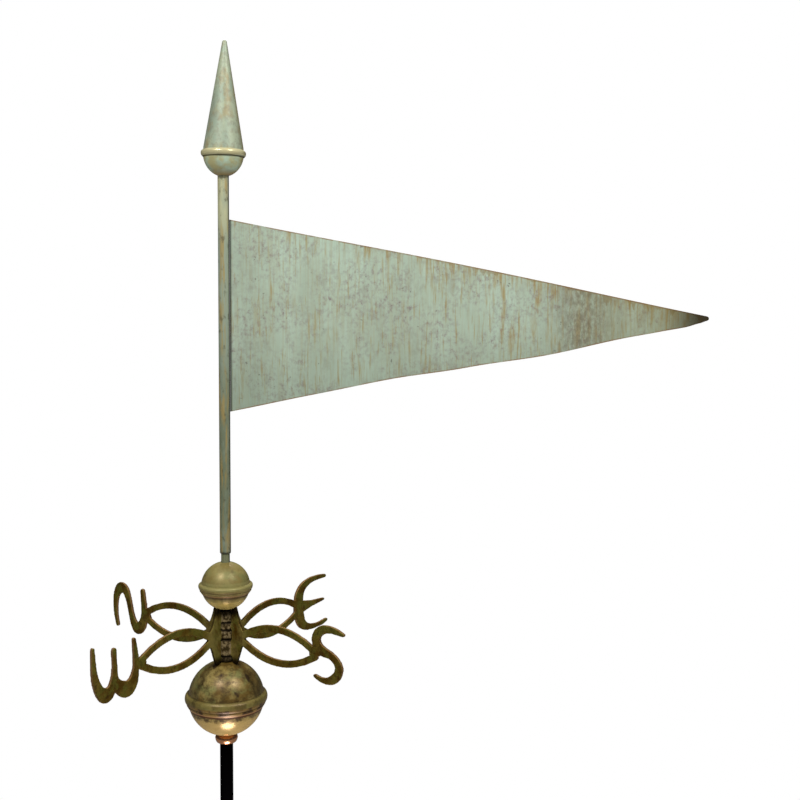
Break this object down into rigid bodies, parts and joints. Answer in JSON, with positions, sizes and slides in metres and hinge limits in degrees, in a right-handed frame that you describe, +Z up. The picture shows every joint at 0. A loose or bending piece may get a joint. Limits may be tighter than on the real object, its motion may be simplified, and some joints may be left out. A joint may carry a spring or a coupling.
{
  "type": "weathervane",
  "caption": "Banner weathervane: a long patinated pennant and pointed finial turn on a mast that carries round globes and a cast compass cross.",
  "frame": {"origin": "middle of the mast's flat foot, where the post is held", "axes": "+Z up along the mast, +X along the pennant towards its tip at rest, -Y towards a viewer who sees the pennant fly to the right"},
  "size_m": [0.8861, 0.4044, 1.1657],
  "materials": {
    "black_steel": "satin black",
    "bright_copper": "polished copper",
    "aged_copper": "satin olive-gold patina with darker mottling",
    "cast_brass": "cast brass, brown-olive patina, lighter on worn edges",
    "verdigris_copper": "pale verdigris with ochre drips and mauve-grey mottling"
  },
  "bodies": {
    "mast": {"mast_rod": "black_steel", "copper_collar": "bright_copper", "large_globe_upper": "aged_copper", "large_globe_lower": "aged_copper", "directional_east_west": "cast_brass", "directional_north_south": "cast_brass", "small_globe_upper": "aged_copper", "small_globe_lower": "aged_copper"},
    "vane": {"vane_tube": "verdigris_copper", "pennant": "verdigris_copper", "finial_bowl": "verdigris_copper", "finial_cone": "verdigris_copper"}
  },
  "joints": [
    {"name": "vane_spin", "type": "hinge", "parent": "mast", "child": "vane", "pos_m": [0, 0, 0], "axis": [0, 0, 1], "continuous": true}
  ]
}
